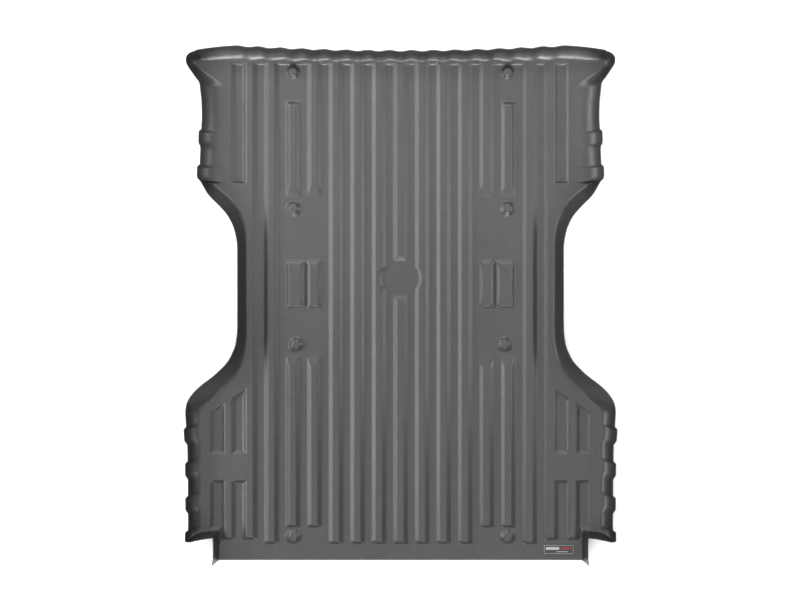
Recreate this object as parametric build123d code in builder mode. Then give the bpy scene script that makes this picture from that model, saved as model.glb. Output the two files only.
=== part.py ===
from build123d import *
import os
from math import atan, degrees, hypot, sqrt, tan

os.makedirs("parts", exist_ok=True)

# Driving dimensions in millimetres. The origin lies under the middle of the tray, with +X to the
# right, +Y towards the front wall and +Z up. The underside of the low floor stands on Z = 0.

SHEET = 3.2             # thickness of the moulded sheet
WALL_TOP = 85.0         # rim height above the truck's floor
PAST = 5.0              # how far a cutting solid runs past the faces that it cuts

# Floor corrugation: raised ribs with valleys between them
RIB_PITCH = 87.0
RIB_FLAT = 24.0         # width of a rib's flat top
RIB_SLOPE = 18.0        # width in plan of a rib's sloping side
RIB_HEIGHT = 14.0
VALLEY_HALF = (RIB_PITCH - RIB_FLAT) / 2 - RIB_SLOPE
SLOPE_ANGLE = degrees(atan(RIB_SLOPE / RIB_HEIGHT))
MITRE = tan(atan(RIB_HEIGHT / RIB_SLOPE) / 2)   # how far a slope's fold moves per millimetre of sheet

# Lengthwise stations
FRONT_FOOT = 984.0      # foot of the front wall
REAR_EDGE = -1028.0     # free edge at the tailgate
STRIP_FRONT = -965.0    # front of the low strip along the tailgate
STRIP_SIDE = -948.0     # the same, behind the two outer ribs of each side
OUTER_VALLEY_REAR = 507.0

# Tray outline, right half, front to rear: foot corner, rim corner, their radii, and whether the
# floor lies on the outside of the turn. A radius of 0 leaves the corner sharp.
FOOT_BOW = 4.0          # how far the middle of the front wall's foot stands back from its ends
FRONT_BOW = 18.0        # the same, along its rim
TRAY_CORNERS = [
    ((640, 984), (650, 1035), 0, 0, False),
    ((806, 984), (852, 1013), 18, 24, False),
    ((806, 945), (852, 964), 8, 10, False),
    ((758, 885), (797, 888), 20, 20, True),
    ((752, 760), (789, 760), 60, 60, True),
    ((766, 503), (800, 497), 12, 12, False),
    ((619, 362), (648, 328), 150, 165, True),
    ((619, -258), (648, -205), 140, 150, True),
    ((800, -405), (852, -362), 40, 80, False),
    ((800, -905), (850, -937), 6, 8, False),
    ((733, -905), (746, -921), 6, 8, True),
    ((733, REAR_EDGE), (746, -1034), 0, 0, False),
]

# Coved lower side walls ahead of the wheel housings
COVE_FOOT = 690.0
COVE_RADIUS = 107.5
COVE_REAR = 495.0
COVE_FRONT_INNER = 880.0    # the front end runs slantwise, from here at the foot
COVE_FRONT_OUTER = 950.0    # to here outside the rim
COVE_BULGES = [(507, 560), (645, 700)]
COVE_BULGE_DEPTH = 10.0

# Upright swellings that stiffen the rear side walls
REAR_BULGE_FIRST = -507.0
REAR_BULGE_PITCH = 137.0
REAR_BULGE_COUNT = 3
REAR_BULGE_LENGTH = 57.0
REAR_BULGE_DEPTH = 11.0

# Flutes in the front wall, one over each valley
FLUTE_DEPTH = 5.0
FLUTE_BASE = 50.0
FLUTE_CREST = 26.0

# Flats round the truck's bed bolts, which interrupt ribs 4 and 5 of each side
BOLT_FLAT_FRONT = 440.0
BOLT_FLAT_REAR = -198.0
RAMP = 54.0                 # long slope at the end of an interrupted rib
FRONT_FLAT_REAR = 831.0     # flat round the front bolts, which shortens rib 5
REAR_FLAT_FRONT = -898.0    # flat round the rear bolts, which shortens ribs 4 and 5
DOMES = [(434, 947, 27), (433, 394.4, 32.5), (422, -155.2, 32.5), (433, -931.6, 32.5)]
DOME_TOP_RADIUS = 14.5
DOME_HEIGHT = 16.0

# Short raised pads between the bolt flats
PAD_REAR = -9.0
PAD_FRONT = 187.0
PAD_SIDES = [(320, 380), (389, 463)]
PAD_SLOPE = 14.0
PAD_END_SLOPE = 7.0

# Round flat in the middle of the floor
DISC_Y = 112.0
DISC_RADIUS = 75.0
DISC_SLOPE = 15.0

# Short grooves beside the wheel housings and the rear pillars, in line with the next valleys out
INNER_GROOVE = 7.5 * RIB_PITCH
OUTER_GROOVE = 8.5 * RIB_PITCH
GROOVE_REAR = -582.0
INNER_GROOVE_FRONT = (-357.0, -386.0)   # inboard and outboard ends of its slanted front
OUTER_GROOVE_FRONT = (-411.0, -438.0)
BACK_GROOVE_FRONT = -718.0
BACK_GROOVE_REAR = -889.0

# Badge at the rear right
BADGE_CENTRE = (640.0, -984.0)
BADGE_SIZE = (124.0, 40.0)
BADGE_CORNER = 3.0
PAD_THICKNESS = 0.6
PLATE_THICKNESS = 1.6
BORDER_WIDTH = 1.6
BORDER_HEIGHT = 0.6
MARK_DEPTH = 0.8
MARK_HEIGHT = 0.3           # how far a mark stands out of the plate
LIGHT_MARK = ((-25.0, 4.0), (54.0, 11.0))
RED_MARK = ((31.0, 4.0), (40.0, 11.0))
LIGHT_LINE = ((14.0, -9.5), (46.0, 2.6))


def tray_outline(corners, radii, front_middle, inset):
    """Closed outline through the right-hand corners and their mirror images, with rounded corners."""
    left = [(-x, y) for x, y in reversed(corners)]
    with BuildSketch(mode=Mode.PRIVATE) as outline:
        with BuildLine():
            Polyline(*corners, *left)
            ThreePointArc(left[-1], (0, front_middle), corners[0])
        make_face()
        if inset:
            offset(amount=-inset, kind=Kind.INTERSECTION)
        for (x, y), (radius, floor_outside) in zip(corners, radii):
            if radius:
                concentric = radius + inset if floor_outside else max(radius - inset, 1)
                for side in (-1, 1):
                    fillet(outline.vertices().sort_by_distance((side * x, y))[0], concentric)
    return outline.sketch


def trough(inset, x_range, y_range, left=RIB_SLOPE, right=RIB_SLOPE, rear=RIB_SLOPE, front=RIB_SLOPE):
    """Low area of the floor: its flat bottom, with slopes of the given plan widths round it."""
    fold = inset * MITRE
    width = x_range[1] - x_range[0] - 2 * fold
    length = y_range[1] - y_range[0] - 2 * fold
    corner = (x_range[0] + fold - left, y_range[0] + fold - rear, inset + RIB_HEIGHT)
    with Locations(corner):
        Wedge(
            left + width + right, RIB_HEIGHT, rear + length + front,
            left, rear, left + width, rear + length,
            rotation=(-90, 0, 0), align=None,
        )


def slanted_groove(inset, side, centre, front_ends):
    """Groove whose front end runs parallel to the wheel housing."""
    fold = inset * MITRE
    half = VALLEY_HALF - fold
    inboard, outboard = front_ends
    with BuildPart(mode=Mode.PRIVATE) as groove:
        with BuildSketch(Plane.XY.offset(inset)):
            Polygon(
                (side * (centre - half), GROOVE_REAR + fold),
                (side * (centre + half), GROOVE_REAR + fold),
                (side * (centre + half), outboard - fold),
                (side * (centre - half), inboard - fold),
                align=None,
            )
        extrude(amount=RIB_HEIGHT, taper=-SLOPE_ANGLE)
    return groove.part


def cove_profile(inset, shift, above):
    """Outline across a coved wall: the space outside its curve, or with above, the space inside it."""
    radius = COVE_RADIUS + SHEET - inset
    base = RIB_HEIGHT + inset
    centre_z = base + radius
    foot = COVE_FOOT + shift
    rim_z = WALL_TOP + (0 if above else PAST)
    rim_x = foot + sqrt(radius ** 2 - (centre_z - rim_z) ** 2)
    middle_z = (base + rim_z) / 2
    middle_x = foot + sqrt(radius ** 2 - (centre_z - middle_z) ** 2)
    if above:
        rest = [(rim_x, rim_z), (COVE_FOOT - 40, rim_z), (COVE_FOOT - 40, base), (foot, base)]
    else:
        rest = [(rim_x, rim_z), (900, rim_z), (900, base - PAST), (foot, base - PAST), (foot, base)]
    with BuildSketch(mode=Mode.PRIVATE) as profile:
        with BuildLine():
            ThreePointArc((foot, base), (middle_x, middle_z), (rim_x, rim_z))
            Polyline(*rest)
        make_face()
    return profile.sketch


def cove_cut(inset):
    """Everything outside the coved walls, with an upright end wall at the rear and a slanted one in front."""
    end_wall = SHEET - inset
    with BuildPart() as cut:
        with BuildSketch(Plane.XZ.offset(-1000)):
            add(cove_profile(inset, 0, above=False))
        extrude(amount=600)
        with BuildSketch():
            Polygon(
                (COVE_FOOT, COVE_REAR + end_wall),
                (900, COVE_REAR + end_wall),
                (900, COVE_FRONT_OUTER - end_wall),
                (COVE_FOOT, COVE_FRONT_INNER - end_wall),
                align=None,
            )
        extrude(amount=2 * WALL_TOP, mode=Mode.INTERSECT)
        mirror(about=Plane.YZ)
    return cut.part


def wall_swellings(inset):
    """Outward swellings of the coved walls and of the rear side walls."""
    with BuildPart() as swellings:
        for rear, front in COVE_BULGES:
            with BuildSketch(Plane.XZ.offset(-(front - inset))):
                add(cove_profile(inset, COVE_BULGE_DEPTH, above=True))
            extrude(amount=front - rear - 2 * inset)
        for number in range(REAR_BULGE_COUNT):
            centre = REAR_BULGE_FIRST - number * REAR_BULGE_PITCH
            front = centre + REAR_BULGE_LENGTH / 2 - inset
            with BuildSketch(Plane.XZ.offset(-front)):
                Polygon(
                    (780, RIB_HEIGHT + inset),
                    (800 - inset, RIB_HEIGHT + inset),
                    (849 + REAR_BULGE_DEPTH - inset, WALL_TOP),
                    (780, WALL_TOP),
                    align=None,
                )
            extrude(amount=REAR_BULGE_LENGTH - 2 * inset)
        mirror(about=Plane.YZ)
    return swellings.part


def front_flutes(inset):
    """Flutes that lean outwards with the front wall, one over each valley."""
    rise = WALL_TOP - RIB_HEIGHT - inset
    with BuildPart() as flutes:
        for number in range(9):
            x = (number + 0.5) * RIB_PITCH
            lean = 50 - FRONT_BOW + FRONT_BOW * (x / 800) ** 2
            with BuildSketch(Plane.XY.offset(RIB_HEIGHT + inset)):
                Polygon(
                    (x - FLUTE_BASE / 2 + inset, FRONT_FOOT - 12),
                    (x + FLUTE_BASE / 2 - inset, FRONT_FOOT - 12),
                    (x + FLUTE_CREST / 2 - inset / 2, FRONT_FOOT + FLUTE_DEPTH - inset),
                    (x - FLUTE_CREST / 2 + inset / 2, FRONT_FOOT + FLUTE_DEPTH - inset),
                    align=None,
                )
            extrude(amount=hypot(lean, rise), dir=(0, lean, rise))
        mirror(about=Plane.YZ)
    return flutes.part


def floor_lows(inset):
    """Every low area of the floor: valleys, bolt flats, grooves, rear strip and the round middle flat."""
    front = FRONT_FOOT - 9
    flat_inner = 3.5 * RIB_PITCH - VALLEY_HALF
    flat_outer = 5.5 * RIB_PITCH + VALLEY_HALF
    with BuildPart() as lows:
        trough(inset, (-729, 729), (REAR_EDGE, STRIP_FRONT), left=4, right=4, rear=0, front=17)
        for side in (-1, 1):
            for number in range(7):
                x = side * (number + 0.5) * RIB_PITCH
                trough(inset, (x - VALLEY_HALF, x + VALLEY_HALF), (STRIP_FRONT - 20, front), front=8)
            outer = side * INNER_GROOVE
            sides = (outer - VALLEY_HALF, outer + VALLEY_HALF)
            trough(inset, sides, (OUTER_VALLEY_REAR, front), rear=12, front=8)
            trough(inset, sides, (STRIP_FRONT - 20, BACK_GROOVE_FRONT))
            outer = side * OUTER_GROOVE
            sides = (outer - VALLEY_HALF, outer + VALLEY_HALF)
            trough(inset, sides, (BACK_GROOVE_REAR, BACK_GROOVE_FRONT), rear=14)
            slopes = (4, RIB_SLOPE) if side < 0 else (RIB_SLOPE, 4)
            pillar = sorted((side * 723, side * 729))
            trough(inset, pillar, (STRIP_FRONT - 20, BACK_GROOVE_REAR + 12), slopes[0], slopes[1])
            step = sorted((side * (6.5 * RIB_PITCH - VALLEY_HALF), side * 729))
            trough(inset, step, (STRIP_FRONT - 20, STRIP_SIDE), slopes[0], slopes[1], front=17)
            flat = sorted((side * flat_inner, side * flat_outer))
            trough(inset, flat, (BOLT_FLAT_REAR, BOLT_FLAT_FRONT), rear=RAMP, front=RAMP)
            trough(inset, flat, (STRIP_FRONT - 20, REAR_FLAT_FRONT), front=16)
            bolt_side = sorted((side * (4.5 * RIB_PITCH - VALLEY_HALF), side * flat_outer))
            trough(inset, bolt_side, (FRONT_FLAT_REAR, front), rear=20, front=8)
            add(slanted_groove(inset, side, INNER_GROOVE, INNER_GROOVE_FRONT))
            add(slanted_groove(inset, side, OUTER_GROOVE, OUTER_GROOVE_FRONT))
        with Locations((0, DISC_Y, inset)):
            Cone(
                DISC_RADIUS - inset * MITRE, DISC_RADIUS + DISC_SLOPE - inset * MITRE, RIB_HEIGHT,
                align=(Align.CENTER, Align.CENTER, Align.MIN),
            )
    return lows.part


def floor_bosses(inset):
    """Raised shapes that stand in the low areas: bolt domes and short pads."""
    fold = (SHEET - inset) * MITRE
    with BuildPart() as bosses:
        for x, y, radius in DOMES:
            with Locations((x, y, inset)):
                Cone(
                    radius - fold, DOME_TOP_RADIUS - fold, DOME_HEIGHT,
                    align=(Align.CENTER, Align.CENTER, Align.MIN),
                )
        for near, far in PAD_SIDES:
            width = far - near - 2 * fold
            length = PAD_FRONT - PAD_REAR - 2 * fold
            with Locations((near + fold, PAD_FRONT - fold, inset)):
                Wedge(
                    width, RIB_HEIGHT, length,
                    PAD_SLOPE, PAD_END_SLOPE, width - PAD_SLOPE, length - PAD_END_SLOPE,
                    rotation=(90, 0, 0), align=None,
                )
        mirror(about=Plane.YZ)
    return bosses.part


def moulded_form(inset):
    """Solid bounded by the sheet's outer face, or by its inner face when inset is the sheet thickness."""
    foot, rim, foot_radii, rim_radii, floor_outside = zip(*TRAY_CORNERS)
    with BuildPart() as form:
        with BuildSketch(Plane.XY.offset(RIB_HEIGHT + inset)):
            add(tray_outline(foot, zip(foot_radii, floor_outside), FRONT_FOOT - FOOT_BOW, inset))
        with BuildSketch(Plane.XY.offset(WALL_TOP)):
            add(tray_outline(rim, zip(rim_radii, floor_outside), rim[0][1] - FRONT_BOW, inset))
        loft(ruled=True)
        add(cove_cut(inset), mode=Mode.SUBTRACT)
        add(wall_swellings(inset))
        add(front_flutes(inset))
        add(floor_lows(inset))
        add(floor_bosses(inset), mode=Mode.SUBTRACT)
    return form.part


# Liner: one sheet of even thickness, open at the tailgate
with BuildPart() as liner:
    add(moulded_form(0))
    add(moulded_form(SHEET), mode=Mode.SUBTRACT)
    with BuildSketch(Plane.XZ.offset(-REAR_EDGE - 20)):
        Polygon(
            (-729 + SHEET, SHEET), (729 - SHEET, SHEET),
            (733 - SHEET, RIB_HEIGHT + SHEET), (746 - SHEET, WALL_TOP + PAST),
            (-746 + SHEET, WALL_TOP + PAST), (-733 + SHEET, RIB_HEIGHT + SHEET),
            align=None,
        )
    extrude(amount=60, mode=Mode.SUBTRACT)
liner.part.label = "liner"
export_step(liner.part, "parts/liner.step")

# Badge, lying on the low strip: adhesive pad, plate with a raised border, and inlaid generic marks
PLATE_BASE = SHEET + PAD_THICKNESS
PLATE_TOP = PLATE_BASE + PLATE_THICKNESS
MARK_BASE = PLATE_TOP - MARK_DEPTH

with BuildPart() as badge_adhesive_pad:
    with BuildSketch(Plane.XY.offset(SHEET)):
        with Locations(BADGE_CENTRE):
            RectangleRounded(BADGE_SIZE[0] - 8, BADGE_SIZE[1] - 8, BADGE_CORNER)
    extrude(amount=PAD_THICKNESS)
badge_adhesive_pad.part.label = "badge_adhesive_pad"
export_step(badge_adhesive_pad.part, "parts/badge_adhesive_pad.step")

with BuildPart() as badge_plate:
    with BuildSketch(Plane.XY.offset(PLATE_BASE)):
        with Locations(BADGE_CENTRE):
            RectangleRounded(*BADGE_SIZE, BADGE_CORNER)
    extrude(amount=PLATE_THICKNESS)
    with BuildSketch(Plane.XY.offset(PLATE_TOP)):
        with Locations(BADGE_CENTRE):
            RectangleRounded(BADGE_SIZE[0] - 5, BADGE_SIZE[1] - 5, BADGE_CORNER - 1)
            RectangleRounded(
                BADGE_SIZE[0] - 5 - 2 * BORDER_WIDTH, BADGE_SIZE[1] - 5 - 2 * BORDER_WIDTH, 1,
                mode=Mode.SUBTRACT,
            )
    extrude(amount=BORDER_HEIGHT)
    with BuildSketch(Plane.XY.offset(MARK_BASE)):
        with Locations(BADGE_CENTRE):
            for centre, size in (LIGHT_MARK, RED_MARK, LIGHT_LINE):
                with Locations(centre):
                    Rectangle(*size)
    extrude(amount=MARK_DEPTH, mode=Mode.SUBTRACT)
badge_plate.part.label = "badge_plate"
export_step(badge_plate.part, "parts/badge_plate.step")

with BuildPart() as badge_light_mark:
    with BuildSketch(Plane.XY.offset(MARK_BASE)):
        with Locations(BADGE_CENTRE):
            for centre, size in (LIGHT_MARK, LIGHT_LINE):
                with Locations(centre):
                    Rectangle(*size)
    extrude(amount=MARK_DEPTH + MARK_HEIGHT)
badge_light_mark.part.label = "badge_light_mark"
export_step(badge_light_mark.part, "parts/badge_light_mark.step")

with BuildPart() as badge_red_mark:
    with BuildSketch(Plane.XY.offset(MARK_BASE)):
        with Locations(BADGE_CENTRE):
            with Locations(RED_MARK[0]):
                Rectangle(*RED_MARK[1])
    extrude(amount=MARK_DEPTH + MARK_HEIGHT)
badge_red_mark.part.label = "badge_red_mark"
export_step(badge_red_mark.part, "parts/badge_red_mark.step")
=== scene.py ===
import math
import bpy
import numpy as np
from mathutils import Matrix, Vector


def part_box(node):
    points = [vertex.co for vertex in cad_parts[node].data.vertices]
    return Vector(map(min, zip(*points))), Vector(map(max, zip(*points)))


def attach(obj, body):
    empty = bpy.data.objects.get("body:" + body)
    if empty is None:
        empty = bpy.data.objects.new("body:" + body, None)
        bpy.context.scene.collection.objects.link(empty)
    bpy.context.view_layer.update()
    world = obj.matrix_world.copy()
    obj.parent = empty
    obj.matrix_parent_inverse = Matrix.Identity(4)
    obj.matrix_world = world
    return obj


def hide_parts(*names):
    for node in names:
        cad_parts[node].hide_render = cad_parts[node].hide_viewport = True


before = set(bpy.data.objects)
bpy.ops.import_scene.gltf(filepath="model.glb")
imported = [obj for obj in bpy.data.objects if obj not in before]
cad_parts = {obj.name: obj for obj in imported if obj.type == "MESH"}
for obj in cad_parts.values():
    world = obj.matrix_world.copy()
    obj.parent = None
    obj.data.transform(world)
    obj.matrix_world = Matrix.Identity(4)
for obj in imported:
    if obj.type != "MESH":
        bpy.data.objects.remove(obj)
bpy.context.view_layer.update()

# ---------------------------------------------------------------- driving dimensions, metres
# +X is to the right, +Y towards the front wall and +Z up, as in the part's own frame.
RIM_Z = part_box("liner")[1].z
SHEET = 0.0032              # thickness of the moulded sheet
RIB_PITCH = 0.087
RIB_FLAT = 0.024            # width of a rib's flat top
RIB_SLOPE = 0.018           # width in plan of a rib's sloping side
RIB_HEIGHT = 0.014
TOP_Z = RIB_HEIGHT + SHEET  # upper face of ribs and plateaus
FOLD = 0.0026               # half the width over which a fold is rounded
VALLEY_HALF = (RIB_PITCH - RIB_FLAT) / 2 - RIB_SLOPE

FRONT_FOOT = 0.984          # foot of the front wall
REAR_EDGE = -1.028          # free edge at the tailgate


def soft(x, radius):
    """Integral of a rounded step: 0 well below zero, x well above it."""
    return np.where(x < -radius, 0.0, np.where(x > radius, x, (x + radius) ** 2 / (4 * radius)))


def ramp(x, start, end, radius=FOLD):
    """From 0 at start to 1 at end, straight between them, with rounded folds."""
    return (soft(x - start, radius) - soft(x - end, radius)) / (end - start)


def step(x, start, end):
    """Smooth step from 0 at start to 1 at end."""
    t = np.clip((x - start) / (end - start), 0, 1)
    return t * t * (3 - 2 * t)


def band(x, low, high, low_run, high_run, radius=FOLD):
    """1 between low and high, falling to 0 over the given widths outside them."""
    return np.minimum(ramp(x, low - low_run, low, radius), 1 - ramp(x, high, high + high_run, radius))


def polyline(y, points):
    """x of a line through given (x, y) points, front to rear, at each y."""
    xs, ys = zip(*reversed(points))
    return np.interp(y, ys, xs)


def rounded(y, points, reach):
    """The same line with its corners rounded over about twice the given reach."""
    offsets = np.linspace(-1, 1, 13)
    weights = 1 - offsets ** 2
    values = [w * polyline(y + o * reach, points) for o, w in zip(offsets, weights)]
    return sum(values) / weights.sum()


# ---------------------------------------------------------------- plan of the tray, right half
# Foot of the wall on the floor
FOOT_LINE = [
    (0.806, 1.10), (0.806, 0.945), (0.758, 0.885), (0.752, 0.760), (0.764, 0.503), (0.668, 0.430),
    (0.633, 0.375), (0.616, 0.310), (0.614, -0.130), (0.625, -0.220), (0.655, -0.290), (0.716, -0.358),
    (0.784, -0.405), (0.794, -0.440), (0.794, -1.10),
]
# Rim of the wall
RIM_LINE = [
    (0.852, 1.10), (0.853, 0.976), (0.849, 0.962), (0.818, 0.917), (0.799, 0.893), (0.791, 0.820),
    (0.789, 0.755), (0.795, 0.630), (0.799, 0.540), (0.800, 0.508), (0.762, 0.439), (0.720, 0.402),
    (0.684, 0.360), (0.660, 0.310), (0.648, 0.250), (0.648, -0.100), (0.656, -0.160), (0.685, -0.222),
    (0.741, -0.278), (0.807, -0.325), (0.847, -0.373), (0.856, -0.410), (0.852, -0.469),
    (0.846, -0.560), (0.844, -0.700), (0.843, -0.870), (0.846, -0.925), (0.846, -1.10),
]
# Line between the floor's inner columns and those that cross the cove and the outer groove
INNER_LINE = [
    (0.690, 1.10), (0.690, 0.480), (0.606, 0.340), (0.6045, -0.180), (0.618, -0.300), (0.708, -0.420),
    (0.708, -1.10),
]
STRAIGHT_END = 0.598        # the floor's columns run straight along the tray out to here

# Coved wall ahead of the wheel housing
COVE_FOOT = 0.690
COVE_WIDTH = 0.1            # how much of its radius the cove spans, from foot to rim
COVE_RADIUS = 0.1075
COVE_REAR = (0.495, 0.505)              # the step at its rear end
COVE_FRONT = (0.883, 0.61)              # foot of its slanted front end: y at the cove's foot, slope in plan
COVE_TOP = 0.878                        # y at which that end has risen to the cove
COVE_LIFT_START = 0.900     # from here to the corner the rim moves ahead of the foot
COVE_BULGES = [(0.507, 0.560), (0.645, 0.700)]
COVE_BULGE_DEPTH = 0.010

# Swellings of the rear side walls
REAR_BULGE_PITCH = 0.137
REAR_BULGES = [(-0.5355 - n * REAR_BULGE_PITCH, -0.4785 - n * REAR_BULGE_PITCH) for n in range(4)]
REAR_BULGE_DEPTH = 0.011
BULGE_FRONT_EDGE = 0.011    # a swelling starts sharply at its front, and dies away behind
BULGE_REAR_EDGE = 0.022
BULGE_SLANT = 0.008         # how far back a swelling has slanted by the rim

# Walls round the rear pillar
RETURN_FOOT = -0.905
RETURN_RIM = -0.922
RETURN_SPREAD = 0.016       # how much further back its outer end's rim stands
RETURN_SPREAD_RUN = 0.09    # the width over which it has moved back
PILLAR_FOOT = 0.733
PILLAR_RIM = 0.746
PILLAR_END = -1.034
PILLAR_COVE = 0.5           # share of a coved wall's curve in these walls
PILLAR_BEND = 0.003         # its rim flares out by this at the tailgate, and bows in by half of it midway
EDGE_ROUNDING = 0.0045      # how far in the free edge at the tailgate is rounded down
EDGE_DROP = 0.6             # how far down, as a share of that

# Front wall and front corner, which the grid crosses as a quarter disc
FRONT_RIM = 1.015           # middle of the front rim
FRONT_BOW = 0.0205          # how far forward of that the rim has bowed at its shoulders
SHOULDER = 0.66             # x of the shoulders
FRONT_FALL = 0.021          # how far back the rim falls beyond them
FRONT_FALL_RUN = 0.18       # the width over which it falls
FLUTE_DEPTH = 0.0028
FLUTE_ENDS = (0.70, 0.60)   # the flutes die away between these, towards the corners
FLUTE_RISE = (0.0, 0.3)     # and between these shares of the wall, towards its foot
VALLEY_FRONT = (0.976, 0.985)           # steep front ends of the valleys
VALLEY_FRONT_FOLD = 0.0015
CORNER = Vector((0.790, 0.968))
CORNER_FOOT_RADIUS = 0.016
CORNER_RIM = Vector((0.816, 0.984))
CORNER_RIM_RADII = Vector((0.037, 0.030))

# How the walls rise from foot to rim
WALL_BEND = 0.95            # how near to upright the coved walls get at their rim, 1 being upright
FRONT_WALL_COVE = 0.85      # share of that curve in the front wall, which is straighter
HOUSING_COVE = 0.05         # the same, in the walls round the wheel housings
STRAIGHT_FOOT = 0.16        # share of a straight wall's width over which its foot is rounded
HOUSING_WALL_FRONT = (0.42, 0.50)       # the wall is straight behind this and coved ahead of it
HOUSING_WALL_REAR = (-0.37, -0.43)      # and coved again behind this

# How far the outline's corners are rounded
TIGHT_REACH = 0.012
HOUSING_REACH = 0.030
HOUSING_TURNS_FRONT = (0.49, 0.45)      # the gentle turns lie behind this
HOUSING_TURNS_REAR = (-0.46, -0.42)     # and ahead of this


def cove_rise(t):
    """Share of a coved wall's rise at share t of its width in plan: part of a quarter ellipse."""
    return (1 - np.sqrt(1 - (WALL_BEND * t) ** 2)) / (1 - math.sqrt(1 - WALL_BEND ** 2))


def wall_rise(t, cove):
    """The same for a wall between coved and straight, with a rounded foot."""
    return cove * cove_rise(t) + (1 - cove) * soft(t - STRAIGHT_FOOT, STRAIGHT_FOOT) / (1 - STRAIGHT_FOOT)


def reach(y):
    """How far the outline's corners are rounded: gently at the wheel housings, tightly elsewhere."""
    at_housing = step(y, *HOUSING_TURNS_FRONT) * step(y, *HOUSING_TURNS_REAR)
    return TIGHT_REACH + (HOUSING_REACH - TIGHT_REACH) * at_housing


def foot_x(y):
    return rounded(y, FOOT_LINE, reach(y))


def rim_x(y):
    return rounded(y, RIM_LINE, reach(y))


def bulges(y, spans, depth):
    """Outward shift of a wall that swells over each span of y."""
    front, rear = BULGE_FRONT_EDGE / 2, BULGE_REAR_EDGE / 2
    shares = [step(y, low - rear, low + rear) * step(y, high + front, high - front) for low, high in spans]
    return depth * sum(shares)


def front_rim_y(x):
    """Front rim: bowed back in the middle and falling away towards the corners."""
    share = np.minimum(np.abs(x) / SHOULDER, 1)
    outer = np.clip((np.abs(x) - SHOULDER) / FRONT_FALL_RUN, 0, 1)
    return FRONT_RIM + FRONT_BOW * share ** 2 - FRONT_FALL * outer ** 1.6


# ---------------------------------------------------------------- floor relief
def trough(x, y, x_range, y_range, left=RIB_SLOPE, right=RIB_SLOPE, rear=RIB_SLOPE, front=RIB_SLOPE):
    """1 in a low area, 0 outside it, between them a slope of the given plan width on each side."""
    return np.minimum(band(x, *x_range, left, right), band(y, *y_range, rear, front))


def valley_at(x, y, centre, y_range, **slopes):
    return trough(x, y, (centre - VALLEY_HALF, centre + VALLEY_HALF), y_range, **slopes)


BEYOND = 2.0                # past both ends of the sheet

# Low strip along the tailgate
STRIP_FRONT = -0.965
STRIP_SIDE = -0.948         # its front behind the outer ribs
STRIP_SLOPE = 0.017
STRIP_OUTER = 0.729         # its outer side, beside the pillar wall
STRIP_OUTER_SLOPE = 0.004
CHANNEL_INNER = 0.724       # narrow channel that runs forward from it to the back groove
CHANNEL_FRONT = -0.877

# Flats round the bed bolts, which interrupt or shorten two ribs of each side
FLAT_INNER = 3.5 * RIB_PITCH - VALLEY_HALF
FLAT_OUTER = 5.5 * RIB_PITCH + VALLEY_HALF
BOLT_FLAT = (-0.198, 0.440)
RAMP = 0.054                # long slope at the end of an interrupted rib
FRONT_FLAT_INNER = 4.5 * RIB_PITCH - VALLEY_HALF
FRONT_FLAT_REAR = 0.831
FRONT_FLAT_SLOPE = 0.020
REAR_FLAT_FRONT = -0.898
REAR_FLAT_SLOPE = 0.016

# Domes over the bolts: x, y and the radius of the foot
DOMES = [(0.434, 0.947, 0.027), (0.433, 0.3944, 0.0325), (0.422, -0.1552, 0.0325), (0.433, -0.9316, 0.0325)]
DOME_TOP_RADIUS = 0.0145
DOME_HEIGHT = 0.016

# Paired pads between the bolts: inner and outer side of each, and their ends
PADS = [(0.320, 0.380), (0.389, 0.463)]
PAD_ENDS = (-0.009, 0.187)
PAD_SLOPE = 0.011
PAD_WAIST = 0.003           # how much wider the side slopes are in the middle than at the ends
PAD_END_SLOPE = 0.006
PAD_END_RUN = 0.028         # the pad's top goes on rising, from half its height, over this length

# Round flat in the middle
DISC_Y = 0.112
DISC_RADIUS = 0.071
DISC_SLOPE = 0.018

# Short grooves outside the outermost valleys: x of the two columns, and their ends
INNER_GROOVE = 7.5 * RIB_PITCH
OUTER_GROOVE = 8.5 * RIB_PITCH
FRONT_GROOVE_REAR = 0.507
FRONT_GROOVE_SLOPE = 0.012
GROOVE_REAR = -0.582
GROOVE_FRONTS = ((INNER_GROOVE, -0.370), (OUTER_GROOVE, -0.425))
GROOVE_SLANT = 0.70         # how far back a groove's front end runs for each metre outwards
GROOVE_FRONT_SLOPE = 0.022
BACK_GROOVE_FRONT = -0.718
BACK_GROOVE_REAR = -0.889
BACK_GROOVE_SLOPE = 0.014


def ramp_fall(s):
    """Height of an interrupted rib's long ramp, from 1 at s = 0 to 0 at its foot, steepening on the way."""
    return 1 - np.clip(s, 0, 1) ** 1.7


def grooves(x, y):
    """1 in the short grooves of both columns, 0 outside them."""
    front = valley_at(x, y, INNER_GROOVE, (FRONT_GROOVE_REAR, BEYOND), rear=FRONT_GROOVE_SLOPE)
    inner_back = valley_at(x, y, INNER_GROOVE, (-BEYOND, BACK_GROOVE_FRONT))
    outer_back = valley_at(x, y, OUTER_GROOVE, (BACK_GROOVE_REAR, BACK_GROOVE_FRONT), rear=BACK_GROOVE_SLOPE)
    low = np.maximum(front, np.maximum(inner_back, outer_back))
    for centre, groove_front in GROOVE_FRONTS:
        slanted = groove_front - (x - centre) * GROOVE_SLANT
        ends = np.minimum(ramp(y, GROOVE_REAR - RIB_SLOPE, GROOVE_REAR),
                          1 - ramp(y - slanted, 0, GROOVE_FRONT_SLOPE))
        sides = band(x, centre - VALLEY_HALF, centre + VALLEY_HALF, RIB_SLOPE, RIB_SLOPE)
        low = np.maximum(low, np.minimum(ends, sides))
    return low


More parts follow.
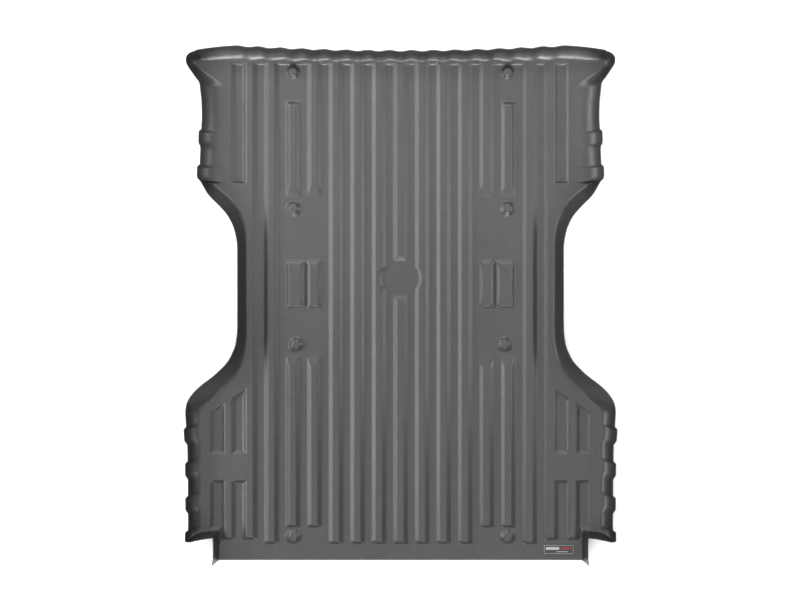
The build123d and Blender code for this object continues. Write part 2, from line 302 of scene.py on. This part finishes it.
def flats(x, y):
    """1 in the strip along the tailgate, the flats round the bolts and the disc, 0 outside them."""
    inside = band(x, FLAT_INNER, FLAT_OUTER, RIB_SLOPE, RIB_SLOPE)
    past = np.maximum(y - BOLT_FLAT[1], BOLT_FLAT[0] - y)
    areas = [
        trough(x, y, (-1, PILLAR_FOOT), (-BEYOND, STRIP_FRONT), front=STRIP_SLOPE),
        trough(x, y, (6.5 * RIB_PITCH, STRIP_OUTER), (-BEYOND, STRIP_SIDE),
               right=STRIP_OUTER_SLOPE, front=STRIP_SLOPE),
        trough(x, y, (CHANNEL_INNER, STRIP_OUTER), (-BEYOND, CHANNEL_FRONT), right=STRIP_OUTER_SLOPE),
        trough(x, y, (FLAT_INNER, FLAT_OUTER), (-BEYOND, REAR_FLAT_FRONT), front=REAR_FLAT_SLOPE),
        trough(x, y, (FRONT_FLAT_INNER, FLAT_OUTER), (FRONT_FLAT_REAR, BEYOND), rear=FRONT_FLAT_SLOPE),
        np.minimum(inside, 1 - ramp_fall(1 - np.clip(past / RAMP, 0, 1))),
        1 - ramp(np.hypot(x, y - DISC_Y), DISC_RADIUS, DISC_RADIUS + DISC_SLOPE),
    ]
    return np.maximum.reduce(areas)


def pad_rise(x, y, inner, outer):
    """Share of its full height that the pad between inner and outer has at each place."""
    middle, half = (PAD_ENDS[0] + PAD_ENDS[1]) / 2, (PAD_ENDS[1] - PAD_ENDS[0]) / 2
    slope = PAD_SLOPE + PAD_WAIST * (1 - np.minimum(np.abs(y - middle) / half, 1) ** 2)
    sides = np.minimum(ramp(x, inner, inner + slope), 1 - ramp(x, outer - slope, outer))
    to_end = np.minimum(y - PAD_ENDS[0], PAD_ENDS[1] - y)
    ends = ramp(to_end, 0, PAD_END_SLOPE) * (0.5 + 0.5 * step(to_end, 0, PAD_END_RUN))
    return np.minimum(sides, ends)


def relief(x, y):
    """Height of the floor's upper face, for x on the right half."""
    phase = np.abs((x / RIB_PITCH) % 1 - 0.5) * RIB_PITCH
    valleys = 1 - ramp(phase, VALLEY_HALF, VALLEY_HALF + RIB_SLOPE)
    low = np.where(x < 7 * RIB_PITCH, valleys, 0.0)
    low = np.maximum(low, np.maximum(grooves(x, y), flats(x, y)))
    low = np.minimum(low, 1 - ramp(y, *VALLEY_FRONT, VALLEY_FRONT_FOLD))
    height = TOP_Z - RIB_HEIGHT * low
    for inner, outer in PADS:
        height = np.maximum(height, SHEET + RIB_HEIGHT * pad_rise(x, y, inner, outer))
    for dome_x, dome_y, radius in DOMES:
        distance = np.hypot(x - dome_x, y - dome_y)
        height = np.maximum(height, SHEET + DOME_HEIGHT * (1 - ramp(distance, DOME_TOP_RADIUS, radius)))
    return height


def cove_height(x):
    """Height of the coved wall's quarter round at x."""
    s = np.clip(x - COVE_FOOT, 0, COVE_RADIUS * 0.999)
    return TOP_Z + COVE_RADIUS - np.sqrt(COVE_RADIUS ** 2 - s ** 2)


# ---------------------------------------------------------------- grid over the right half
MIDDLE_COLUMNS = 20         # from the last straight column to the inner line
PILLAR_COLUMNS = 6          # from there to the pillar wall's foot, and again up that wall
OUTER_COLUMNS = 6           # from the pillar wall's rim to the front corner's middle
RING_SHARE = 0.863          # that middle, as a share of the way from the inner line to the wall's foot
FLOOR_RINGS = 4             # rings of the front corner that lie on the floor
WALL_SHARES = np.array([    # lines along the wall, as shares of its width in plan
    0.035, 0.07, 0.11, 0.16, 0.22, 0.29, 0.37, 0.45, 0.53, 0.61, 0.69, 0.77, 0.85, 0.93, 1,
])
DISC_COLUMNS = np.arange(0.006, 0.092, 0.006)
DOME_COLUMNS = np.arange(0.398, 0.470, 0.005)
LEAST_PITCH = 0.0015        # a column closer than this to the one before is left out
SHARP_DEGREES = 50          # folds sharper than this aren't shaded smooth


def floor_columns():
    """x of the straight columns: three at each fold of the ribs, more round the domes and the disc."""
    xs = [0.0]
    for rib in range(8):
        for fold in (RIB_FLAT / 2, RIB_FLAT / 2 + RIB_SLOPE):
            for side in (-1, 1):
                at = rib * RIB_PITCH + side * fold
                xs += [at - FOLD, at, at + FOLD]
    xs += [*DISC_COLUMNS, *DOME_COLUMNS]
    xs = sorted(x for x in xs if 0 <= x <= STRAIGHT_END)
    kept = [xs[0]]
    for x in xs[1:]:
        if x - kept[-1] > LEAST_PITCH:
            kept.append(x)
    kept[-1] = STRAIGHT_END
    return np.array(kept)


def floor_rows():
    """y of the rows, closer together where the relief changes along the tray."""
    spans = [       # start, end and pitch
        (REAR_EDGE, -1.0235, 0.0009), (-1.0235, -0.975, 0.010), (-0.975, RETURN_RIM, 0.004),
        (RETURN_RIM, RETURN_FOOT, 0.0017), (RETURN_FOOT, -0.872, 0.004), (-0.872, -0.722, 0.006),
        (-0.722, -0.694, 0.004), (-0.694, -0.606, 0.006), (-0.606, -0.576, 0.004), (-0.576, -0.44, 0.006),
        (-0.44, -0.33, 0.005), (-0.33, -0.19, 0.007), (-0.19, -0.12, 0.0045), (-0.12, -0.012, 0.018),
        (-0.012, 0.022, 0.003), (0.022, 0.205, 0.0055), (0.205, 0.355, 0.015), (0.355, 0.43, 0.0045),
        (0.43, 0.492, 0.005), (0.492, 0.512, 0.0025), (0.512, 0.555, 0.011), (0.555, 0.565, 0.0025),
        (0.565, 0.64, 0.015), (0.64, 0.65, 0.0025), (0.65, 0.695, 0.015), (0.695, 0.705, 0.0025),
        (0.705, 0.805, 0.02), (0.805, 0.836, 0.004), (0.836, 0.876, 0.01), (0.876, CORNER.y, 0.0035),
    ]
    rows = []
    for start, end, pitch in spans:
        rows += list(np.linspace(start, end, max(2, round((end - start) / pitch) + 1))[:-1])
    return np.array(rows + [CORNER.y])


def outer_shares():
    """Columns from the inner line to the wall's foot, as shares of that width, on the pillar wall's lines."""
    start, width = INNER_LINE[-1][0], FOOT_LINE[-1][0] - INNER_LINE[-1][0]
    pillar_foot, pillar_rim = (PILLAR_FOOT - start) / width, (PILLAR_RIM - start) / width
    return np.concatenate([
        np.linspace(0, pillar_foot, PILLAR_COLUMNS + 1)[1:],
        np.linspace(pillar_foot, pillar_rim, PILLAR_COLUMNS + 1)[1:],
        np.linspace(pillar_rim, RING_SHARE, OUTER_COLUMNS + 1)[1:],
        np.linspace(RING_SHARE, 1, FLOOR_RINGS + 1)[1:],
    ])


def floor_and_side_wall(rows, straight, outer):
    """Positions of the rows behind the front corner, across the floor and up the side wall."""
    y_row = rows[:, None]
    inner, foot = rounded(y_row, INNER_LINE, TIGHT_REACH), foot_x(y_row)
    lift = (CORNER_RIM.y - CORNER.y) * step(y_row, COVE_LIFT_START, CORNER.y)
    rim = rim_x(y_row + lift)
    cove_push = bulges(y_row, COVE_BULGES, COVE_BULGE_DEPTH)
    rear_push = bulges(y_row + BULGE_SLANT * WALL_SHARES, REAR_BULGES, REAR_BULGE_DEPTH)
    middle = np.linspace(0, 1, MIDDLE_COLUMNS + 1)[1:]
    x = np.concatenate([
        np.repeat(straight[None], len(rows), 0),
        STRAIGHT_END + middle * (inner - STRAIGHT_END),
        inner + outer * (foot - inner),
        foot + WALL_SHARES * (rim - foot + cove_push + rear_push),
    ], 1)
    y = np.repeat(y_row, x.shape[1], 1)
    ground = relief(np.minimum(x, foot), y)
    y[:, -len(WALL_SHARES):] += WALL_SHARES * lift

    # the plain wall
    wall_t = np.concatenate([np.zeros(x.shape[1] - len(WALL_SHARES)), WALL_SHARES])
    away = step(y_row, *HOUSING_WALL_FRONT) + step(y_row, *HOUSING_WALL_REAR)
    wall_z = ground + (RIM_Z - ground) * wall_rise(wall_t, HOUSING_COVE + (1 - HOUSING_COVE) * away)

    # the broad cove ahead of the wheel housing, with its slanted front end
    stretch = COVE_WIDTH / (rim - COVE_FOOT)
    cove_z = cove_height(COVE_FOOT + (x - cove_push - COVE_FOOT) * stretch)
    end_foot = COVE_FRONT[0] + COVE_FRONT[1] * (x - COVE_FOOT)
    up = np.clip((end_foot - y) / (end_foot - COVE_TOP), 0, 1)
    in_cove = step(y_row, *COVE_REAR) * (1 - (1 - up) ** 1.7) * (x > COVE_FOOT - 0.001)
    return x, y, wall_z + (np.maximum(cove_z, ground) - wall_z) * in_cove


def corner_point(i, j):
    """Where the front corner's quarter disc puts the point i columns out and j rows ahead of its middle."""
    ring = max(i, j)
    turn = math.pi / 4 * (j / i if i >= j else 2 - i / j)
    direction = Vector((math.cos(turn), math.sin(turn)))
    at = CORNER + direction * CORNER_FOOT_RADIUS * min(ring / FLOOR_RINGS, 1)
    rise = 0.0
    if ring > FLOOR_RINGS:
        t = WALL_SHARES[ring - FLOOR_RINGS - 1]
        at = at.lerp(CORNER_RIM + direction * CORNER_RIM_RADII, t)
        side_share = 1 - turn / (math.pi / 2)
        rise = wall_rise(t, FRONT_WALL_COVE + (1 - FRONT_WALL_COVE) * side_share)
    return at.x, at.y, TOP_Z + (RIM_Z - TOP_Z) * rise


def front_wall(x, y, z, corner_row, corner_col):
    """Fills the rows ahead of the corner's middle: to the front wall's foot, up the wall, and the corner."""
    x_foot = x[corner_row]
    x_rim = x_foot * (CORNER_RIM.x / CORNER.x)
    y_rim = front_rim_y(x_rim)
    z_foot = relief(x_foot, np.full_like(x_foot, FRONT_FOOT))
    flutes = -FLUTE_DEPTH * np.cos(2 * np.pi * x_rim / RIB_PITCH) * step(x_rim, *FLUTE_ENDS)
    rings = FLOOR_RINGS + len(WALL_SHARES)
    for j in range(1, rings + 1):
        row = corner_row + j
        if j <= FLOOR_RINGS:
            x[row] = x_foot
            y[row] = CORNER.y + (FRONT_FOOT - CORNER.y) * j / FLOOR_RINGS
            z[row] = relief(x_foot, y[row])
        else:
            t = WALL_SHARES[j - FLOOR_RINGS - 1]
            x[row] = x_foot + t * (x_rim - x_foot)
            y[row] = FRONT_FOOT + t * (y_rim - FRONT_FOOT) + flutes * step(t, *FLUTE_RISE)
            z[row] = z_foot + (RIM_Z - z_foot) * wall_rise(t, FRONT_WALL_COVE)
        for i in range(1, rings + 1):
            at = row, corner_col + i
            x[at], y[at], z[at] = corner_point(i, j)


def pillar_walls(x, y, z, rows, pillar_col):
    """Raises the walls round the rear pillar and gives the row of the return's rim."""
    columns = np.arange(x.shape[1])
    pillar_t = np.clip((columns - pillar_col) / PILLAR_COLUMNS, 0, 1)
    in_pillar = (columns > pillar_col) & (columns <= pillar_col + PILLAR_COLUMNS)
    beyond = columns > pillar_col + PILLAR_COLUMNS
    foot_row, rim_row = [int(np.argmin(np.abs(rows - at))) for at in (RETURN_FOOT, RETURN_RIM)]
    for row in range(foot_row):
        return_t = min((foot_row - row) / (foot_row - rim_row), 1)
        ground = z[row, pillar_col]
        z_pillar = ground + (RIM_Z - ground) * wall_rise(np.minimum(pillar_t, return_t), PILLAR_COVE)
        z_return = TOP_Z + (RIM_Z - TOP_Z) * wall_rise(return_t, PILLAR_COVE)
        z[row] = np.where(in_pillar, z_pillar, z[row])
        z[row] = np.where(beyond, np.maximum(z[row], z_return), z[row])
        moved = RETURN_SPREAD * np.clip((x[row] - PILLAR_RIM) / RETURN_SPREAD_RUN, 0, 1) ** 1.5
        y[row] -= np.where(beyond, moved * return_t, 0)
        back = np.clip((RETURN_RIM - rows[row]) / (RETURN_RIM - REAR_EDGE), 0, 1)
        bend = back ** 8 - 0.5 * np.sin(np.pi * back)
        y[row] += np.where(in_pillar, (PILLAR_END - REAR_EDGE) * pillar_t * back ** 2, 0)
        x[row] += np.where(in_pillar, PILLAR_BEND * pillar_t * bend, 0)
    return rim_row


def half_grid():
    """Positions of the liner's upper face over its right half, and which cells of the grid are sheet."""
    rows, straight, outer = floor_rows(), floor_columns(), outer_shares()
    pillar_col = len(straight) + MIDDLE_COLUMNS + PILLAR_COLUMNS - 1
    corner_col = len(straight) + MIDDLE_COLUMNS + len(outer) - FLOOR_RINGS - 1
    rings = FLOOR_RINGS + len(WALL_SHARES)
    shape = len(rows) + rings, corner_col + 1 + rings
    x, y, z = (np.zeros(shape) for _ in range(3))
    behind = slice(len(rows))
    x[behind], y[behind], z[behind] = floor_and_side_wall(rows, straight, outer)
    front_wall(x, y, z, len(rows) - 1, corner_col)
    rim_row = pillar_walls(x, y, z, rows, pillar_col)
    cells = np.ones((shape[0] - 1, shape[1] - 1), bool)
    cells[:rim_row, pillar_col + PILLAR_COLUMNS:] = False

    # the free edge at the tailgate is rounded down
    edge = np.clip((rows[:, None] - REAR_EDGE) / EDGE_ROUNDING, 0, 1)
    drop = EDGE_ROUNDING * EDGE_DROP * (1 - np.sqrt(1 - (1 - edge) ** 2))
    z[behind] -= np.where(z[behind] < TOP_Z, drop, 0)
    return x, y, z, cells


def mirrored(values, sign=1):
    """Values over the right half, continued over the left half."""
    return np.concatenate([sign * values[:, :0:-1], values], 1)


def sheet_mesh(name):
    """The whole liner: the right half and its mirror image, given the sheet's thickness below."""
    x, y, z, cells = half_grid()
    top = np.stack([mirrored(x, -1), mirrored(y), mirrored(z)], -1)
    cells = np.concatenate([cells[:, ::-1], cells], 1)
    normal = np.cross(np.gradient(top, axis=1), np.gradient(top, axis=0))
    normal /= np.linalg.norm(normal, axis=-1, keepdims=True)
    under = top - SHEET * normal
    under[..., 2] = np.maximum(under[..., 2], 0)

    count = top.shape[0] * top.shape[1]
    index = np.arange(count).reshape(top.shape[:2])
    quads = np.stack([index[:-1, :-1], index[:-1, 1:], index[1:, 1:], index[1:, :-1]], -1)[cells]
    edges = np.concatenate([quads[:, [k, (k + 1) % 4]] for k in range(4)])
    directed = dict.fromkeys(map(tuple, edges.tolist()))
    faces = quads.tolist() + (quads[:, ::-1] + count).tolist()
    faces += [(b, a, a + count, b + count) for a, b in directed if (b, a) not in directed]

    used, corners = np.unique(np.array(faces), return_inverse=True)
    points = np.concatenate([top.reshape(-1, 3), under.reshape(-1, 3)])[used]
    mesh = bpy.data.meshes.new(name)
    mesh.from_pydata(points.tolist(), [], corners.reshape(-1, 4).tolist())
    mesh.validate()
    mesh.shade_smooth()
    mesh.set_sharp_from_angle(angle=math.radians(SHARP_DEGREES))
    return mesh


def add_piece(name, mesh, material, slot, *nodes):
    """A visible piece on the part's one body, in place of the given CAD nodes."""
    piece = bpy.data.objects.new(name, mesh)
    bpy.context.scene.collection.objects.link(piece)
    mesh.materials.append(material)
    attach(piece, "root")
    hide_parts(*nodes)


# ---------------------------------------------------------------- materials
RUBBER = (0.034, 0.0343, 0.0351)
RUBBER_DARK = (0.028, 0.0282, 0.0290)
RUBBER_HAZE = (0.044, 0.0444, 0.0453)
RUBBER_PAINTED_SHADE = (0.017, 0.0172, 0.0178)  # painted shade: the darker colour given to upright faces
UPRIGHT_TO_LYING = (0.35, 0.75)         # how far a face's normal points up where the painted shade of upright faces starts to fade, and is gone

BADGE_BLACK, BADGE_BLACK_LIGHT = (0.009, 0.009, 0.010), (0.016, 0.016, 0.017)
BADGE_BORDER = (0.26, 0.265, 0.27)
MARK_LIGHT, MARK_LIGHT_DARK = (0.33, 0.34, 0.35), (0.26, 0.27, 0.28)
MARK_RED, MARK_RED_DARK = (0.17, 0.010, 0.011), (0.12, 0.007, 0.008)
ADHESIVE_DARK, ADHESIVE = (0.08, 0.08, 0.078), (0.16, 0.16, 0.155)


def new_material(name, color, roughness, specular=0.5):
    """A material with a Principled shader that has even values to start from."""
    material = bpy.data.materials.new(name)
    material.use_nodes = True
    shader = material.node_tree.nodes["Principled BSDF"]
    shader.inputs["Base Color"].default_value = (*color, 1)
    shader.inputs["Roughness"].default_value = roughness
    shader.inputs["Specular IOR Level"].default_value = specular
    return material, material.node_tree, shader


def noise_node(tree, scale, detail=2.0, stretch=(1, 1, 1), distortion=0.0):
    """Noise fixed to the object, in metres; stretch lengthens its features along an axis."""
    coordinates = tree.nodes.new("ShaderNodeTexCoord")
    mapping = tree.nodes.new("ShaderNodeMapping")
    mapping.inputs["Scale"].default_value = [1 / s for s in stretch]
    tree.links.new(coordinates.outputs["Object"], mapping.inputs["Vector"])
    noise = tree.nodes.new("ShaderNodeTexNoise")
    noise.inputs["Scale"].default_value = scale
    noise.inputs["Detail"].default_value = detail
    noise.inputs["Distortion"].default_value = distortion
    tree.links.new(mapping.outputs["Vector"], noise.inputs["Vector"])
    return noise.outputs["Fac"]


def spread(tree, factor, low, high, start=0.3, end=0.7):
    """The factor's middle range mapped to low...high."""
    node = tree.nodes.new("ShaderNodeMapRange")
    node.inputs["From Min"].default_value = start
    node.inputs["From Max"].default_value = end
    node.inputs["To Min"].default_value = low
    node.inputs["To Max"].default_value = high
    tree.links.new(factor, node.inputs["Value"])
    return node.outputs["Result"]


def mix_color(tree, factor, first, second):
    """A blend of two colours; each is a colour or the output of another node."""
    node = tree.nodes.new("ShaderNodeMix")
    node.data_type = "RGBA"
    tree.links.new(factor, node.inputs["Factor"])
    for socket, value in ((node.inputs["A"], first), (node.inputs["B"], second)):
        if isinstance(value, tuple):
            socket.default_value = (*value, 1)
        else:
            tree.links.new(value, socket)
    return node.outputs["Result"]


def add_bump(tree, shader, height, distance, strength=1.0):
    """A bump on top of those that the shader already has."""
    node = tree.nodes.new("ShaderNodeBump")
    node.inputs["Distance"].default_value = distance
    node.inputs["Strength"].default_value = strength
    tree.links.new(height, node.inputs["Height"])
    if shader.inputs["Normal"].is_linked:
        tree.links.new(shader.inputs["Normal"].links[0].from_socket, node.inputs["Normal"])
    tree.links.new(node.outputs["Normal"], shader.inputs["Normal"])


def grain_bump(tree, shader, size, depth):
    """Pebble grain as on moulded rubber: rounded grains of about the given size."""
    coordinates = tree.nodes.new("ShaderNodeTexCoord")
    cells = tree.nodes.new("ShaderNodeTexVoronoi")
    cells.feature = "SMOOTH_F1"
    cells.inputs["Scale"].default_value = 1 / size
    cells.inputs["Smoothness"].default_value = 0.6
    tree.links.new(coordinates.outputs["Object"], cells.inputs["Vector"])
    add_bump(tree, shader, spread(tree, cells.outputs["Distance"], 1, 0, 0, 0.9), depth)


def rubber_material():
    """Satin black moulded rubber: pebble grain, soft flow mottling, a little haze, and painted shade on
    upright faces.
    """
    material, tree, shader = new_material("liner_rubber", RUBBER, roughness=0.36, specular=0.45)
    blotches = noise_node(tree, 26, detail=4, distortion=0.6)
    flow = noise_node(tree, 3.2, detail=3, stretch=(1, 2.5, 1), distortion=0.4)
    tone = mix_color(tree, spread(tree, blotches, 0, 1), RUBBER_DARK, RUBBER)
    hazy = mix_color(tree, spread(tree, flow, 0, 0.55), tone, RUBBER_HAZE)
    # Painted shade: faces that stand upright get a darker rubber colour than faces that lie flat.
    facing = tree.nodes.new("ShaderNodeNewGeometry")
    upward = tree.nodes.new("ShaderNodeSeparateXYZ")
    tree.links.new(facing.outputs["Normal"], upward.inputs["Vector"])
    unshaded_share = spread(tree, upward.outputs["Z"], 0, 1, *UPRIGHT_TO_LYING)
    tree.links.new(mix_color(tree, unshaded_share, RUBBER_PAINTED_SHADE, hazy), shader.inputs["Base Color"])
    tree.links.new(spread(tree, blotches, 0.33, 0.39), shader.inputs["Roughness"])
    grain_bump(tree, shader, size=0.0016, depth=0.00006)
    add_bump(tree, shader, noise_node(tree, 45), distance=0.00012)
    return material


def plate_material():
    """Black moulded badge, with a bare light rim where it stands above the plate."""
    top_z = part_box("badge_plate")[1].z
    material, tree, shader = new_material("badge_black", BADGE_BLACK, roughness=0.35)
    position = tree.nodes.new("ShaderNodeNewGeometry")
    height = tree.nodes.new("ShaderNodeSeparateXYZ")
    tree.links.new(position.outputs["Position"], height.inputs["Vector"])
    border = spread(tree, height.outputs["Z"], 0, 1, top_z - 0.0004, top_z - 0.0002)
    mottle = spread(tree, noise_node(tree, 300, detail=3), 0, 1)
    black = mix_color(tree, mottle, BADGE_BLACK, BADGE_BLACK_LIGHT)
    tree.links.new(mix_color(tree, border, black, BADGE_BORDER), shader.inputs["Base Color"])
    tree.links.new(spread(tree, noise_node(tree, 500), 0.30, 0.42), shader.inputs["Roughness"])
    add_bump(tree, shader, noise_node(tree, 1500), distance=0.00003)
    return material


def mark_material(name, light, dark):
    """Painted inlay: an even colour with fine speckle and a slight orange-peel surface."""
    material, tree, shader = new_material(name, light, roughness=0.4)
    speckle = spread(tree, noise_node(tree, 900, detail=3), 0, 1)
    tree.links.new(mix_color(tree, speckle, dark, light), shader.inputs["Base Color"])
    tree.links.new(spread(tree, noise_node(tree, 250), 0.33, 0.48), shader.inputs["Roughness"])
    add_bump(tree, shader, noise_node(tree, 700), distance=0.00003)
    return material


def adhesive_material():
    """Grey foam tape seen only at its edge."""
    material, tree, shader = new_material("badge_adhesive", ADHESIVE, roughness=0.7)
    pores = noise_node(tree, 1800, detail=3)
    tone = mix_color(tree, spread(tree, pores, 0, 1), ADHESIVE_DARK, ADHESIVE)
    tree.links.new(tone, shader.inputs["Base Color"])
    add_bump(tree, shader, pores, distance=0.0001)
    return material


def finish_node(node, material):
    """Gives a CAD node that stays its finished material."""
    cad = bpy.data.objects[node]
    cad.data.materials.clear()
    cad.data.materials.append(material)


# ---------------------------------------------------------------- the pieces
add_piece("liner_sheet", sheet_mesh("liner_sheet"), rubber_material(), "liner_rubber", "liner")
finish_node("badge_plate", plate_material())
finish_node("badge_light_mark", mark_material("badge_light", MARK_LIGHT, MARK_LIGHT_DARK))
finish_node("badge_red_mark", mark_material("badge_red", MARK_RED, MARK_RED_DARK))
finish_node("badge_adhesive_pad", adhesive_material())

# ---------------------------------------------------------------- stage, light and camera
FLOOR_HALF = 150.0          # half the stage floor's side, so that it fills every view
FLOOR_SCALE = 3.24          # metres of floor across the picture
CAMERA_HEIGHT = 5.0
SENSOR = 36.0               # millimetres
LIT_POINT = 0.1             # height of the points that most lamps are aimed at


def add_floor():
    """The plain pale stage floor."""
    mesh = bpy.data.meshes.new("floor")
    corners = [(FLOOR_HALF * x, FLOOR_HALF * y, 0) for x, y in ((-1, -1), (1, -1), (1, 1), (-1, 1))]
    mesh.from_pydata(corners, [], [(0, 1, 2, 3)])
    stage_floor = bpy.data.objects.new("floor", mesh)
    bpy.context.scene.collection.objects.link(stage_floor)
    mesh.materials.append(new_material("floor_pale", (0.9, 0.9, 0.9), roughness=0.9, specular=0.1)[0])


def area_light(name, at, target, size, power, spread_degrees=180):
    """A soft rectangular lamp, of the given width and height, aimed at the target."""
    light = bpy.data.lights.new(name, "AREA")
    light.shape = "RECTANGLE"
    light.size, light.size_y = size
    light.energy = power
    light.spread = math.radians(spread_degrees)
    lamp = bpy.data.objects.new(name, light)
    bpy.context.scene.collection.objects.link(lamp)
    lamp.location = at
    lamp.rotation_euler = (Vector(target) - Vector(at)).to_track_quat("-Z", "Y").to_euler()
    lamp.visible_camera = False


def add_sky():
    """Even light from all sides, and a very soft sun straight above."""
    world = bpy.data.worlds.new("studio")
    world.use_nodes = True
    background = world.node_tree.nodes["Background"]
    background.inputs["Color"].default_value = (1, 1, 1, 1)
    background.inputs["Strength"].default_value = 0.14
    bpy.context.scene.world = world
    sky = bpy.data.lights.new("sky", "SUN")
    sky.energy = 2.45
    sky.angle = math.radians(90)
    bpy.context.scene.collection.objects.link(bpy.data.objects.new("sky", sky))


def add_camera():
    """A camera that looks straight down, with the front wall at the top of the picture."""
    camera_data = bpy.data.cameras.new("camera")
    camera_data.sensor_width = SENSOR
    camera_data.lens = SENSOR * CAMERA_HEIGHT / FLOOR_SCALE
    camera = bpy.data.objects.new("camera", camera_data)
    bpy.context.scene.collection.objects.link(camera)
    camera.location = (-0.002, 0.025, CAMERA_HEIGHT)
    bpy.context.scene.camera = camera


add_floor()
area_light("overhead", (-0.3, 1.5, 3.0), (-0.2, 0.8, 0), (2.0, 2.0), 5)
area_light("front_fill", (0, -0.8, 0.72), (0, 1.05, 0.05), (2.4, 0.35), 6, spread_degrees=40)
area_light("behind", (0, -3.4, 2.0), (0, 0.3, LIT_POINT), (3.2, 0.7), 45)
area_light("ahead", (0, 3.4, 2.1), (0, -0.3, LIT_POINT), (3.2, 0.7), 90)
area_light("left", (-2.5, 0.4, 1.08), (0, 0.2, LIT_POINT), (4.4, 0.45), 98)
area_light("right", (2.5, 0.4, 1.08), (0, 0.3, LIT_POINT), (2.2, 0.45), 33)
add_sky()
add_camera()
bpy.context.scene.view_settings.view_transform = "Standard"
